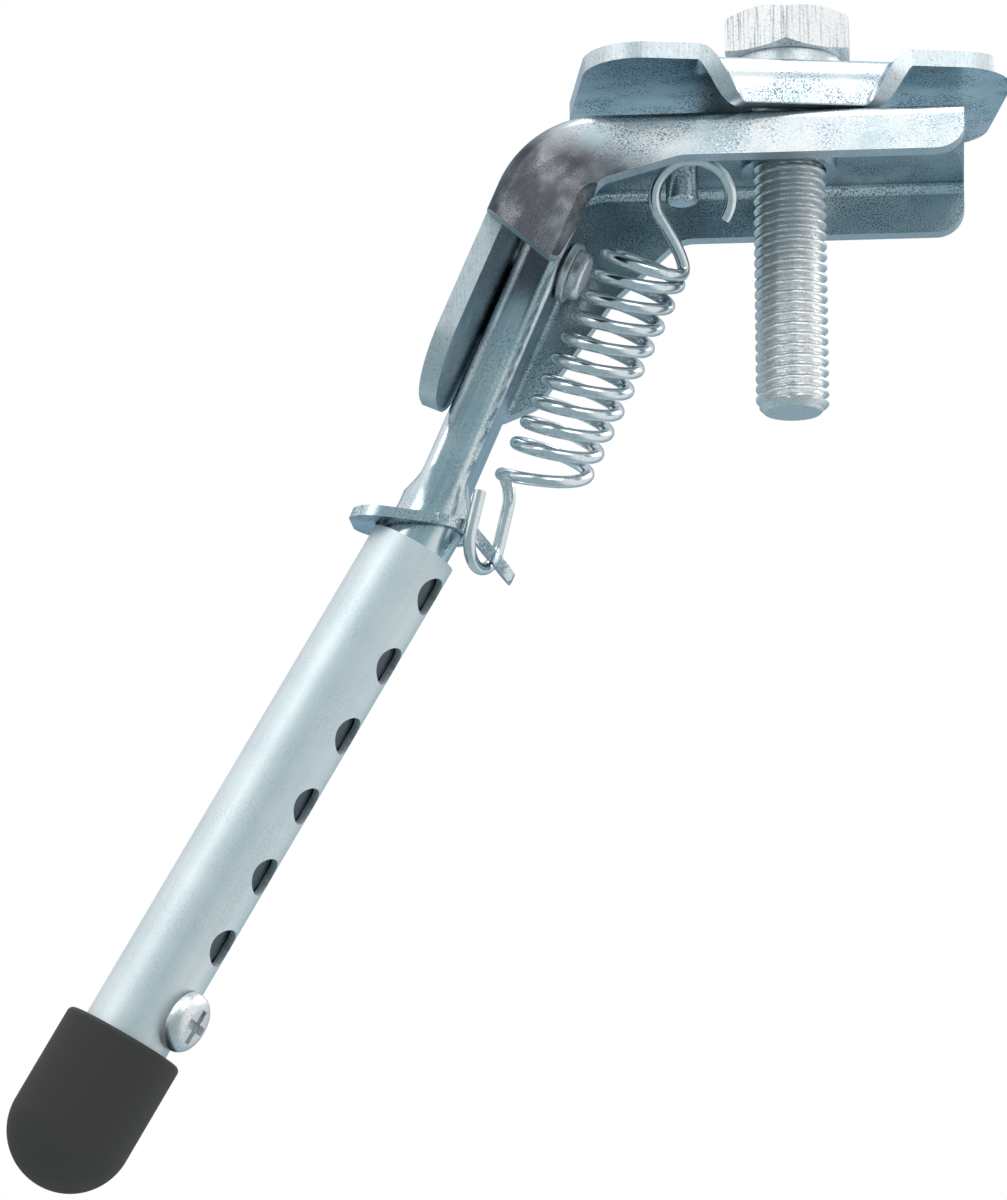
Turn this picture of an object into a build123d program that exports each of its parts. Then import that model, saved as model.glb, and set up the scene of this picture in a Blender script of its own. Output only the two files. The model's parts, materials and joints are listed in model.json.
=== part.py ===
"""Bicycle side stand: a clamp bracket for the chain stays and a sprung, length-adjustable leg.

Millimetres. The origin is on the clamp bolt's axis at the top face of the bracket's web.
+Z is up along the bolt, +X points away from the leg, and the leg folds towards -Y.
"""
import os
from math import cos, pi, radians, sin, sqrt, tan

from build123d import *

os.makedirs("parts", exist_ok=True)

# Fits
running_gap = 0.05
face_gap = 0.3
press_gap = 0.02

# Folded sheet of the bracket
sheet = 2.6
bend_inner = 1.5
web_right = 24.0
web_front = 13.3
back_wall = 12.0
front_flange_slope = 62.0
front_flange_drop = 8.0
back_flange_drop = 9.4
hood_flange_depth = 13.0
hood_fold_radius = 15.0
hood_end = 33.4
hood_end_rise = 5.6
facet_start = -14.0
facet_run = 10.5
facet_drop = 3.6
facet_round = 5.0
hood_tip_round = 1.2
flange_corner = 4.0
tongue_end = 53.4
tongue_corner = 9.0
ear_end = 48.6
ear_width = 12.2
ear_taper = 4.0
ear_round = 2.0
relief_width = 3.6
relief_height = 13.0
collar_wall = 1.6
collar_height = 1.4

# Clamp
plate_length = 59.0
plate_depth = 33.0
plate_sheet = 2.3
plate_corner = 8.0
plate_turn = 10.0
lip_top_width = 28.0
lip_bottom_width = 17.0
lip_drop = 8.2
lip_bend = 4.0
bolt_diameter = 10.0
bolt_length = 50.0
bolt_chamfer = 0.9
head_flats = 17.0
head_height = 6.2
head_chamfer = 30.0
washer_thickness = 3.2
washer_outer = 15.4
washer_split = 0.9

# Leg
leg_lean = 23.1
tube_lean = 30.0
leg_offset = 26.2
pivot_drop = 26.5
kink_drop = 66.0
blade_thickness = 6.4
blade_width = 10.4
rod_diameter = 10.0
flare_length = 4.0
flare_gap = 2.0
rod_past_screw = 6.0

# Rivet
rivet_diameter = 6.0
rivet_head_diameter = 7.0
rivet_head_height = 1.8
rivet_washer_outer = 8.6
rivet_washer_thickness = 1.0
rivet_play = 0.15
rivet_land = 0.1

# Tube, screw and foot
tube_outer = 12.3
tube_wall = 1.0
tube_start = 5.0
hole_diameter = 5.5
hole_pitch = 11.15
hole_first = 5.1
hole_count = 7
hole_turn = 15.0
screw_diameter = 5.0
screw_grip = 8.0
screw_head_diameter = 8.6
screw_head_height = 2.3
screw_head_round = 1.8
screw_recess_width = 1.2
screw_recess_span = 5.0
screw_recess_depth = 1.3
cap_clear = 1.3
cap_grip = 12.0
cap_length = 23.0
cap_outer = 17.2
cap_rim_radius = 0.6

# Spring, its peg and its plate
wire = 1.6
coil_radius = 5.45
coil_full_turns = 10
coil_start = 50.0
coil_finish = 90.0
spring_top = (-19.3, -5.0, -17.5)
spring_bottom = (-34.3, 7.0, -44.2)
upper_reach = 16.0
peg_diameter = 4.4
peg_length = 8.6
peg_chamfer = 0.4
hook_tail = 5.0
lower_hook_radius = 4.2
hook_hang = 13.0
hook_turn = 22.0
hook_play = 0.6
plate_steel = 1.5
spring_plate_left = 10.2
spring_plate_right = 6.2
spring_plate_width = 13.0
spring_plate_corner = 5.0
spring_plate_tilt = 4.2
ring_play = 0.8
ear_fold = 28.5
ear_length = 8.9
ear_neck = 3.4
ear_lobe = 4.4

# Directions of the leg in its own plane: across the tongue and down along it
lean = radians(leg_lean)
across = Vector(cos(lean), 0, -sin(lean))
along = Vector(-sin(lean), 0, -cos(lean))
lean_tube = radians(tube_lean)
tube_across = Vector(cos(lean_tube), 0, -sin(lean_tube))
tube_along = Vector(-sin(lean_tube), 0, -cos(lean_tube))

# Places that follow from the sizes above
tongue_outer = -leg_offset - blade_thickness / 2 - face_gap - sheet
leg_y = back_wall - face_gap - blade_width / 2
web_left = tongue_outer / cos(lean) + hood_fold_radius * tan((pi / 2 - lean) / 2)
blade_edge_radius = blade_width / 2 - rivet_diameter / 2 - rivet_play - rivet_land
plate_top = lip_drop + press_gap
screw_place = hole_first + hole_pitch * (hole_count - 1)
cap_start = screw_place + screw_head_diameter / 2 + cap_clear
rod_in_tube = screw_place + rod_past_screw
far = 60.0


def leg_point(p, s, y=0.0):
    """The point at p across the tongue and s down along it, from the origin."""
    return across * p + along * s + Vector(0, y, 0)


def leg_xz(p, s):
    """The same point as (x, z), for sketches on the XZ plane."""
    point = leg_point(p, s)
    return (point.X, point.Z)


pivot = leg_point(-leg_offset, pivot_drop, leg_y)
kink = leg_point(-leg_offset, kink_drop, leg_y)
tube_top = kink + tube_along * tube_start


def channel_section(plane):
    """The bracket's U section: sloped front flange, web and upright back flange."""
    slope = radians(front_flange_slope)
    middle = bend_inner + sheet / 2
    front_corner = -web_front - middle * tan(slope / 2)
    depth = hood_flange_depth - sheet / 2
    with BuildSketch(plane) as section:
        with BuildLine():
            FilletPolyline(
                (front_corner - depth / tan(slope), -hood_flange_depth),
                (front_corner, -sheet / 2),
                (back_wall + sheet / 2, -sheet / 2),
                (back_wall + sheet / 2, -hood_flange_depth),
                radius=middle,
            )
        trace(line_width=sheet)
    return section.sketch


# The folded bracket
fold_centre = Vector(web_left, 0, -hood_fold_radius)
fold_end = fold_centre - across * hood_fold_radius
tongue_reach = tongue_end - fold_end.dot(along)
front_keep = [
    (web_right, far),
    (web_right, -front_flange_drop),
    (facet_start, -front_flange_drop),
    (facet_start - facet_run, -front_flange_drop - facet_drop),
    leg_xz(tongue_outer + hood_flange_depth, hood_end),
    leg_xz(tongue_outer - sheet, hood_end - hood_end_rise * (1 + sheet / hood_flange_depth)),
    leg_xz(tongue_outer - far, hood_end - far),
]
front_radii = [flange_corner, facet_round, facet_round / 2, hood_tip_round, sheet]
ear_root = leg_xz(tongue_outer + ear_width + ear_taper, pivot_drop)
back_keep = [
    (web_right, far),
    (web_right, -back_flange_drop),
    (ear_root[0] + back_flange_drop, -back_flange_drop),
    ear_root,
    leg_xz(tongue_outer + ear_width, ear_end - ear_taper),
    leg_xz(tongue_outer + ear_width - ear_taper, ear_end),
    leg_xz(tongue_outer - sheet, ear_end),
    leg_xz(tongue_outer - far, 0),
]
back_radii = [flange_corner, facet_round, facet_round, ear_round, ear_round, sheet]
wall_inset = sheet + bend_inner
tongue_cut = sheet + wall_inset
back_plate = [
    (web_right, -wall_inset),
    (web_right, -far),
    leg_xz(tongue_outer + wall_inset, far),
    leg_xz(tongue_outer + wall_inset, fold_end.dot(along)),
    (web_left, -wall_inset),
]
with BuildPart() as mount_bracket:
    web_section = channel_section(Plane.YZ.offset(web_left))
    extrude(web_section, amount=web_right - web_left)
    fold_axis = Axis(tuple(fold_centre), (0, -1, 0))
    revolve(web_section, axis=fold_axis, revolution_arc=90 - leg_lean)
    tongue_section = channel_section(Plane(origin=fold_end, x_dir=(0, 1, 0), z_dir=-along))
    extrude(tongue_section, amount=-tongue_reach)
    with BuildSketch(Plane.XZ.offset(-back_wall)):
        with BuildLine():
            Polyline(back_plate, close=True)
        make_face()
    extrude(amount=-sheet)
    # Outline of the front flange and the hood
    with BuildSketch(Plane.XZ.offset(web_front - face_gap)):
        Rectangle(4 * far, 4 * far)
        with BuildLine():
            FilletPolyline(*front_keep, radius=front_radii)
            Line(front_keep[-1], front_keep[0])
        make_face(mode=Mode.SUBTRACT)
    extrude(amount=far, mode=Mode.SUBTRACT)
    # Outline of the back flange and the stop ear
    with BuildSketch(Plane.XZ.offset(-(back_wall - bend_inner))):
        Rectangle(4 * far, 4 * far)
        with BuildLine():
            FilletPolyline(*back_keep, radius=back_radii)
            Line(back_keep[-1], back_keep[0])
        make_face(mode=Mode.SUBTRACT)
    extrude(amount=-far, mode=Mode.SUBTRACT)
    # Rounded end of the tongue and the relief slot beside the ear
    tongue_plane = Plane(origin=across * (tongue_outer - sheet), x_dir=(0, 1, 0), z_dir=across)
    tongue_back = back_wall - bend_inner - relief_width
    with BuildSketch(tongue_plane):
        with Locations((0, -tongue_end)):
            Rectangle(4 * web_front, 2 * tongue_corner)
        with Locations(((tongue_back - web_front + face_gap) / 2, far / 2 - tongue_end)):
            RectangleRounded(web_front - face_gap + tongue_back, far, tongue_corner, mode=Mode.SUBTRACT)
    extrude(amount=tongue_cut, mode=Mode.SUBTRACT)
    with BuildSketch(tongue_plane):
        with Locations((tongue_back + relief_width / 2, -tongue_end)):
            SlotCenterToCenter(2 * relief_height, relief_width, rotation=90)
    extrude(amount=tongue_cut, mode=Mode.SUBTRACT)
    # Tapped collar for the bolt
    with BuildSketch(Plane.XY.offset(-sheet)):
        Circle(bolt_diameter / 2 + collar_wall)
    extrude(amount=-collar_height)
    with BuildSketch(Plane.XY):
        Circle(bolt_diameter / 2 + running_gap)
    extrude(amount=-far / 2, mode=Mode.SUBTRACT)
    # Hole for the rivet
    with BuildSketch(Plane(origin=pivot + across * (-leg_offset), z_dir=across)):
        Circle(rivet_diameter / 2 + press_gap)
    extrude(amount=leg_offset, mode=Mode.SUBTRACT)
mount_bracket.part.label = "mount_bracket"
export_step(mount_bracket.part, "parts/mount_bracket.step")


# Clamp plate: flat wings and a lip bent down at the middle of its front and back edges
turned_x = Vector(cos(radians(plate_turn)), sin(radians(plate_turn)), 0)
turned_y = Vector(-sin(radians(plate_turn)), cos(radians(plate_turn)), 0)
plate_middle = plate_top - plate_sheet / 2
lip_bend_outer = lip_bend + plate_sheet
with BuildPart() as clamp_plate:
    with BuildSketch(Plane(origin=turned_x * (-lip_top_width / 2), x_dir=turned_y, z_dir=turned_x)):
        with BuildLine():
            lip_middle = plate_depth / 2 - plate_sheet / 2
            FilletPolyline(
                (-lip_middle, plate_top - lip_drop),
                (-lip_middle, plate_middle),
                (lip_middle, plate_middle),
                (lip_middle, plate_top - lip_drop),
                radius=lip_bend + plate_sheet / 2,
            )
        trace(line_width=plate_sheet)
    extrude(amount=lip_top_width)
    with BuildSketch(Plane(origin=turned_y * (-plate_depth), x_dir=turned_x, z_dir=turned_y)):
        with BuildLine():
            Polyline(
                (-lip_top_width / 2, -plate_top),
                (lip_top_width / 2, -plate_top),
                (lip_bottom_width / 2, lip_drop - plate_top),
                (-lip_bottom_width / 2, lip_drop - plate_top),
                close=True,
            )
        make_face()
    extrude(amount=2 * plate_depth, mode=Mode.INTERSECT)
    with BuildSketch(Plane(origin=(0, 0, plate_top - plate_sheet), x_dir=turned_x, z_dir=(0, 0, 1))):
        RectangleRounded(plate_length, plate_depth, plate_corner)
        with Locations((0, plate_depth / 2), (0, -plate_depth / 2)):
            Rectangle(lip_top_width, 2 * lip_bend_outer, mode=Mode.SUBTRACT)
        Circle(bolt_diameter / 2 + face_gap, mode=Mode.SUBTRACT)
    extrude(amount=plate_sheet)
    with BuildSketch(Plane.XY):
        Circle(bolt_diameter / 2 + face_gap)
    extrude(amount=far, mode=Mode.SUBTRACT)
clamp_plate.part.label = "clamp_plate"
export_step(clamp_plate.part, "parts/clamp_plate.step")

# Split lock washer under the bolt head
with BuildPart() as lock_washer:
    with BuildSketch(Plane.XY.offset(plate_top)):
        Circle(washer_outer / 2)
        Circle(bolt_diameter / 2 + face_gap, mode=Mode.SUBTRACT)
        with Locations((-washer_outer / 2, 0)):
            Rectangle(washer_outer, washer_split, mode=Mode.SUBTRACT)
    extrude(amount=washer_thickness)
lock_washer.part.label = "lock_washer"
export_step(lock_washer.part, "parts/lock_washer.step")

# Hexagon bolt
head_bottom = plate_top + washer_thickness
head_top = head_bottom + head_height
head_corner = head_flats / 2 / cos(pi / 6)
with BuildPart() as clamp_bolt:
    with BuildSketch(Plane.XY.offset(head_bottom)):
        RegularPolygon(head_flats / 2, 6, major_radius=False, rotation=30)
    extrude(amount=head_height)
    with BuildSketch(Plane.XZ):
        with BuildLine():
            Polyline(
                (head_flats / 2, head_top),
                (2 * head_corner, head_top),
                (2 * head_corner, head_top - (2 * head_corner - head_flats / 2) * tan(radians(head_chamfer))),
                close=True,
            )
        make_face()
    revolve(axis=Axis.Z, mode=Mode.SUBTRACT)
    with BuildSketch(Plane.XY.offset(head_bottom)):
        Circle(bolt_diameter / 2)
    extrude(amount=-bolt_length)
    chamfer(clamp_bolt.edges().group_by(Axis.Z)[0], bolt_chamfer)
clamp_bolt.part.label = "clamp_bolt"
export_step(clamp_bolt.part, "parts/clamp_bolt.step")

# Rivet through the tongue and the blade, with its peened head on a washer
rivet_seat = pivot + across * (blade_thickness / 2 + face_gap)
with BuildPart() as pivot_washer:
    with BuildSketch(Plane(origin=rivet_seat, z_dir=across)):
        Circle(rivet_washer_outer / 2)
        Circle(rivet_diameter / 2 + press_gap, mode=Mode.SUBTRACT)
    extrude(amount=rivet_washer_thickness)
pivot_washer.part.label = "pivot_washer"
export_step(pivot_washer.part, "parts/pivot_washer.step")

rivet_root = pivot + across * (tongue_outer + leg_offset)
rivet_length = rivet_seat.dot(across) + rivet_washer_thickness - rivet_root.dot(across)
with BuildPart() as pivot_rivet:
    with BuildSketch(Plane(origin=rivet_root, z_dir=across)):
        Circle(rivet_diameter / 2)
    extrude(amount=rivet_length)
    with BuildSketch(Plane(origin=rivet_root + across * rivet_length, z_dir=across)):
        Circle(rivet_head_diameter / 2)
    extrude(amount=rivet_head_height)
    head_rim = pivot_rivet.edges().sort_by(Axis(tuple(rivet_root), tuple(across)))[-1]
    fillet(head_rim, rivet_head_height / 2)
pivot_rivet.part.label = "pivot_rivet"
export_step(pivot_rivet.part, "parts/pivot_rivet.step")

# Leg rod: flattened blade, flare back to the round, kink, and the length inside the tube
flare_end = kink_drop - flare_gap
flare_start = flare_end - flare_length
hole_across = tube_across * cos(radians(hole_turn)) - Vector(0, 1, 0) * sin(radians(hole_turn))
screw_seat = tube_top + tube_along * screw_place
with BuildPart() as leg_rod:
    blade_plane = Plane(
        origin=across * (-leg_offset - blade_thickness / 2) + Vector(0, leg_y, 0),
        x_dir=(0, 1, 0),
        z_dir=across,
    )
    with BuildSketch(blade_plane):
        with Locations((0, -pivot_drop)):
            Circle(blade_width / 2)
        with Locations((0, -(pivot_drop + flare_start) / 2)):
            Rectangle(blade_width, flare_start - pivot_drop)
    extrude(amount=blade_thickness)
    flat_end = leg_rod.faces().sort_by(Axis(tuple(pivot), tuple(along)))[-1]
    sides = leg_rod.faces().filter_by(Plane(origin=(0, 0, 0), z_dir=across))
    rims = [edge for edge in sides.edges() if edge not in flat_end.edges()]
    fillet(rims, blade_edge_radius)
    with BuildSketch(Plane(origin=leg_point(-leg_offset, flare_start, leg_y), x_dir=(0, 1, 0), z_dir=along)):
        RectangleRounded(blade_width, blade_thickness, blade_edge_radius)
    with BuildSketch(Plane(origin=leg_point(-leg_offset, flare_end, leg_y), x_dir=(0, 1, 0), z_dir=along)):
        Circle(rod_diameter / 2)
    loft()
    with BuildSketch(Plane(origin=leg_point(-leg_offset, flare_end, leg_y), x_dir=(0, 1, 0), z_dir=along)):
        Circle(rod_diameter / 2)
    extrude(amount=flare_gap)
    with Locations(kink):
        Sphere(rod_diameter / 2)
    with BuildSketch(Plane(origin=kink, x_dir=(0, 1, 0), z_dir=tube_along)):
        Circle(rod_diameter / 2)
    extrude(amount=tube_start + rod_in_tube)
    with BuildSketch(Plane(origin=pivot - across * blade_thickness, z_dir=across)):
        Circle(rivet_diameter / 2 + rivet_play)
    extrude(amount=2 * blade_thickness, mode=Mode.SUBTRACT)
    with BuildSketch(Plane(origin=screw_seat - hole_across * rod_diameter, z_dir=hole_across)):
        Circle(screw_diameter / 2 + press_gap)
    extrude(amount=2 * rod_diameter, mode=Mode.SUBTRACT)
leg_rod.part.label = "leg_rod"
export_step(leg_rod.part, "parts/leg_rod.step")

# Tube with its row of length holes
with BuildPart() as leg_tube:
    with BuildSketch(Plane(origin=tube_top, x_dir=(0, 1, 0), z_dir=tube_along)):
        Circle(tube_outer / 2)
        Circle(tube_outer / 2 - tube_wall, mode=Mode.SUBTRACT)
    extrude(amount=cap_start + cap_grip)
    for number in range(hole_count):
        hole_centre = tube_top + tube_along * (hole_first + hole_pitch * number)
        with BuildSketch(Plane(origin=hole_centre, z_dir=hole_across)):
            Circle(hole_diameter / 2)
        extrude(amount=tube_outer, mode=Mode.SUBTRACT)
leg_tube.part.label = "leg_tube"
export_step(leg_tube.part, "parts/leg_tube.step")

# Pan-head lock screw with a cross recess
screw_top = screw_seat + hole_across * (tube_outer / 2 + running_gap)
screw_face = Plane(origin=screw_top, z_dir=hole_across)
with BuildPart() as lock_screw:
    with BuildSketch(screw_face):
        Circle(screw_head_diameter / 2)
    extrude(amount=screw_head_height)
    screw_rim = lock_screw.edges().sort_by(Axis(tuple(screw_top), tuple(hole_across)))[-1]
    fillet(screw_rim, screw_head_round)
    with BuildSketch(screw_face.offset(screw_head_height - screw_recess_depth)):
        Rectangle(screw_recess_span, screw_recess_width)
        Rectangle(screw_recess_width, screw_recess_span)
    extrude(amount=2 * screw_recess_depth, mode=Mode.SUBTRACT)
    with BuildSketch(screw_face):
        Circle(screw_diameter / 2)
    extrude(amount=-screw_grip)
lock_screw.part.label = "lock_screw"
export_step(lock_screw.part, "parts/lock_screw.step")

# Rubber foot
cap_plane = Plane(origin=tube_top + tube_along * cap_start, x_dir=(0, 1, 0), z_dir=tube_along)
with BuildPart() as foot_cap:
    with BuildSketch(cap_plane):
        Circle(cap_outer / 2)
    extrude(amount=cap_length - cap_outer / 2)
    cap_rim = foot_cap.edges().sort_by(Axis(tuple(tube_top), tuple(tube_along)))[0]
    fillet(cap_rim, cap_rim_radius)
    with Locations(cap_plane.origin + tube_along * (cap_length - cap_outer / 2)):
        Sphere(cap_outer / 2)
    with BuildSketch(cap_plane):
        Circle(tube_outer / 2 + running_gap)
    extrude(amount=cap_grip + press_gap, mode=Mode.SUBTRACT)
foot_cap.part.label = "foot_cap"
export_step(foot_cap.part, "parts/foot_cap.step")

# Line of the spring, and the place of its peg and of the plate's ear
top = Vector(*spring_top)
bottom = Vector(*spring_bottom)
coil_length = (top - bottom).length
pull = (top - bottom).normalized()
hook_top = top + pull * upper_reach
pull_level = Vector(pull.X, pull.Y, 0).normalized()
peg_centre = hook_top - pull_level * (wire / 2 + peg_diameter / 2 + running_gap)
ear_start = leg_point(-leg_offset + spring_plate_right, kink_drop)
ear_down = across * cos(radians(ear_fold)) + along * sin(radians(ear_fold))
ear_normal = along * cos(radians(ear_fold)) - across * sin(radians(ear_fold))
coil_turns = coil_full_turns + (coil_finish - coil_start) / 360
coil_side = pull.cross(Vector(1, 0, 0)).rotate(Axis((0, 0, 0), tuple(pull)), coil_start)
spring_plane = Plane(origin=bottom, x_dir=coil_side, z_dir=pull)
hang = radians(hook_hang)
turn = radians(hook_turn)
hook_down = Vector(-sin(hang), 0, -cos(hang))
hook_side = Vector(-sin(turn) * cos(hang), -cos(turn), sin(turn) * sin(hang))
lower_start = spring_plane.from_local_coords(Vector(coil_radius, 0, 0))
hook_middle = lower_start + hook_side * lower_hook_radius
hook_inside = lower_hook_radius - wire / 2
hook_rise = hook_inside - sqrt(hook_inside**2 - (ear_neck / 2) ** 2)
hook_drop = plate_steel / 2 + wire / 2 + hook_rise + hook_play
crown_reach = (hook_drop - (hook_middle - ear_start).dot(ear_normal)) / hook_down.dot(ear_normal)

with BuildPart() as spring_peg:
    with BuildSketch(Plane(origin=(peg_centre.X, peg_centre.Y, -sheet))):
        Circle(peg_diameter / 2)
    extrude(amount=-peg_length)
    chamfer(spring_peg.edges().group_by(Axis.Z)[0], peg_chamfer)
spring_peg.part.label = "spring_peg"
export_step(spring_peg.part, "parts/spring_peg.step")

# Spring plate: a ring on the rod below the flare, with an ear for the spring's lower hook
with BuildPart() as spring_plate:
    with BuildSketch(Plane.XZ.offset(-(leg_y - spring_plate_width))):
        with BuildLine():
            left_end = leg_xz(-leg_offset - spring_plate_left, kink_drop + spring_plate_tilt)
            ear_tip = ear_start + ear_down * ear_length
            FilletPolyline(left_end, (ear_start.X, ear_start.Z), (ear_tip.X, ear_tip.Z), radius=plate_steel)
        trace(line_width=plate_steel)
    extrude(amount=-3 * spring_plate_width)
    ring_plane = Plane(origin=leg_point(0, kink_drop - far / 2, 0), x_dir=across, z_dir=along)
    ear_reach = ear_length * cos(radians(ear_fold))
    with BuildSketch(ring_plane):
        ring_length = spring_plate_left + spring_plate_right
        ring_middle = -leg_offset + (spring_plate_right - spring_plate_left) / 2
        with Locations((ring_middle, -leg_y)):
            RectangleRounded(ring_length, spring_plate_width, spring_plate_corner)
        ear_end_place = -leg_offset + spring_plate_right + ear_reach - ear_lobe / 2
        with Locations((ear_end_place / 2 - leg_offset / 2, -hook_middle.Y)):
            Rectangle(ear_end_place + leg_offset, ear_neck)
        with Locations((ear_end_place, -hook_middle.Y)):
            Circle(ear_lobe / 2)
    extrude(amount=far, mode=Mode.INTERSECT)
    with BuildSketch(Plane(origin=kink - along * rod_diameter, x_dir=(0, 1, 0), z_dir=along)):
        Circle(rod_diameter / 2 + ring_play)
    extrude(amount=2 * rod_diameter, mode=Mode.SUBTRACT)
spring_plate.part.label = "spring_plate"
export_step(spring_plate.part, "parts/spring_plate.step")

# Extension spring: the coil, and a long hook at each end
upper_turn = 2 * pi * coil_turns
upper_start = spring_plane.from_local_coords(
    Vector(coil_radius * cos(upper_turn), coil_radius * sin(upper_turn), coil_length)
)


def hook_path(start, down, side, leg, radius):
    """A U hook: straight out from the coil, half round to the side, and a free tail back."""
    rise = start + down * leg
    crown = rise + down * radius + side * radius
    back = rise + side * (2 * radius)
    with BuildLine() as hook:
        Line(start, rise)
        ThreePointArc(rise, crown, back)
        Line(back, back - down * hook_tail)
    return hook.line


with BuildPart() as return_spring:
    with BuildLine() as coil:
        Helix(coil_length / coil_turns, coil_length, coil_radius)
    coil_path = spring_plane.from_local_coords(coil.line)
    with BuildSketch(Plane(origin=coil_path @ 0, z_dir=coil_path % 0)):
        Circle(wire / 2)
    sweep(path=coil_path, is_frenet=True)
    upper_side = (top - upper_start).normalized()
    hooks = [
        hook_path(upper_start, pull, upper_side, upper_reach - coil_radius, coil_radius),
        hook_path(lower_start, hook_down, hook_side, crown_reach - lower_hook_radius, lower_hook_radius),
    ]
    for hook_line in hooks:
        with BuildSketch(Plane(origin=hook_line @ 0, z_dir=hook_line % 0)):
            Circle(wire / 2)
        sweep(path=hook_line)
        with Locations(hook_line @ 0):
            Sphere(wire / 2)
return_spring.part.label = "return_spring"
export_step(return_spring.part, "parts/return_spring.step")
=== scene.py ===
"""Looks of the bicycle side stand: thread, spring, pressed plate, eased edges, plated and rubber finishes.

Metres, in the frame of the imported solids: the origin is on the clamp bolt's axis at the top of the web.
"""
import json
import math

import bmesh
import bpy
import numpy as np
from mathutils import Matrix, Vector


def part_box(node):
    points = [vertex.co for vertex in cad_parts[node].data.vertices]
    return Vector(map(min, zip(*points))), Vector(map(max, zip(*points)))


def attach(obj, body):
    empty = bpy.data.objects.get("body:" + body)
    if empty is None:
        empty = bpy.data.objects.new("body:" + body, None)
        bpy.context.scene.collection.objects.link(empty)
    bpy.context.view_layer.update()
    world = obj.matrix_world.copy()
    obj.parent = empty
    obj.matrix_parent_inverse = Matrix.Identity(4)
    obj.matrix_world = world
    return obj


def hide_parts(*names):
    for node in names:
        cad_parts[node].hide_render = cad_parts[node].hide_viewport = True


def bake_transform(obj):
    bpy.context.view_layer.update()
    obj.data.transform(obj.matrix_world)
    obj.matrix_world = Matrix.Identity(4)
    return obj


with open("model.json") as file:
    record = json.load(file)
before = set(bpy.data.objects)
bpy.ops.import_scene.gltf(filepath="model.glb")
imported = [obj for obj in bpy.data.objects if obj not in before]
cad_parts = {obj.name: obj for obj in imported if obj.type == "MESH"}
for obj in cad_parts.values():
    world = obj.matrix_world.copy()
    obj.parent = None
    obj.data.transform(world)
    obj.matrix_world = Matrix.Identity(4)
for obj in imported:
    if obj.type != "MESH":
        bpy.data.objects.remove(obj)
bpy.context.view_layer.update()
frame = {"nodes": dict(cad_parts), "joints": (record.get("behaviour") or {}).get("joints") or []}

bl_info = {
    "name": "Bicycle side stand",
    "version": (1, 0, 0),
    "blender": (4, 5, 0),
    "location": "View3D > Sidebar > Side stand",
    "description": "Builds the visible pieces and finishes of a clamp-on bicycle side stand",
    "category": "Object",
}

mm = 0.001

# The photograph's frame and the camera fitted to it
photo_width = 1007
photo_height = 1200
origin_pixel = (789.0, 144.0)
pixels_per_metre = 7250.0
sensor_height = 36.0

# Directions: across and along the leg's blade from the hinge axis, along the tube from its lean, and upright
hinge = next(joint for joint in frame["joints"] if joint["name"] == "leg_swing")
across = -np.array(hinge["axis"])
tube_lean = math.radians(30.0)
tube_along = np.array([-math.sin(tube_lean), 0.0, -math.cos(tube_lean)])
along = np.cross([0.0, 1.0, 0.0], across)
upright = (0.0, 0.0, 1.0)

# Inside of the bracket's front flange, and the distance within which points of a mesh are one
flange_inside = -13.2 * mm
merge_distance = 0.001 * mm


def unit(vector):
    """The vector at length one."""
    vector = np.asarray(vector, dtype=float)
    return vector / np.linalg.norm(vector, axis=-1, keepdims=True)


def smooth(value):
    """Eases a value from 0 to 1 with flat ends: 3v squared less 2v cubed."""
    value = np.clip(value, 0.0, 1.0)
    return value * value * (3.0 - 2.0 * value)


class StandSizes(bpy.types.PropertyGroup):
    """Sizes of the pieces that are shaped here."""

    thread_pitch: bpy.props.FloatProperty(
        name="Thread pitch", description="Rise of the bolt's thread in one turn",
        default=1.5 * mm, unit="LENGTH")
    thread_depth: bpy.props.FloatProperty(
        name="Thread depth", description="Crest to root of the bolt's thread",
        default=0.85 * mm, unit="LENGTH")
    head_flats: bpy.props.FloatProperty(
        name="Head flats", description="Width across the flats of the bolt's head",
        default=17 * mm, unit="LENGTH")
    plate_length: bpy.props.FloatProperty(
        name="Plate length", description="Clamp plate from wing tip to wing tip",
        default=59 * mm, unit="LENGTH")
    plate_depth: bpy.props.FloatProperty(
        name="Plate depth", description="Clamp plate from lip to lip",
        default=33 * mm, unit="LENGTH")
    plate_sheet: bpy.props.FloatProperty(
        name="Plate sheet", description="Thickness of the clamp plate",
        default=2.3 * mm, unit="LENGTH")
    plate_corner: bpy.props.FloatProperty(
        name="Plate corner", description="Corner radius of the wings",
        default=8 * mm, unit="LENGTH")
    plate_turn: bpy.props.FloatProperty(
        name="Plate turn", description="Turn of the plate about the bolt",
        default=math.radians(10), unit="ROTATION")
    lip_flat: bpy.props.FloatProperty(
        name="Lip width", description="Width of the lip where it is bent down fully",
        default=16 * mm, unit="LENGTH")
    lip_root: bpy.props.FloatProperty(
        name="Lip root", description="Width over which the lip runs out into the wings",
        default=29 * mm, unit="LENGTH")
    lip_bend: bpy.props.FloatProperty(
        name="Lip bend", description="Inner radius of the lip's bend",
        default=4 * mm, unit="LENGTH")
    wire: bpy.props.FloatProperty(
        name="Spring wire", description="Diameter of the spring's wire",
        default=1.72 * mm, unit="LENGTH")
    coil_radius: bpy.props.FloatProperty(
        name="Coil radius", description="Radius of the spring at the middle of its wire",
        default=5.45 * mm, unit="LENGTH")
    coil_turns: bpy.props.IntProperty(
        name="Coil turns", description="Full turns of the spring",
        default=10)
    edge: bpy.props.FloatProperty(
        name="Sheet edge", description="Rounding of the sheared edges",
        default=0.35 * mm, unit="LENGTH")


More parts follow.
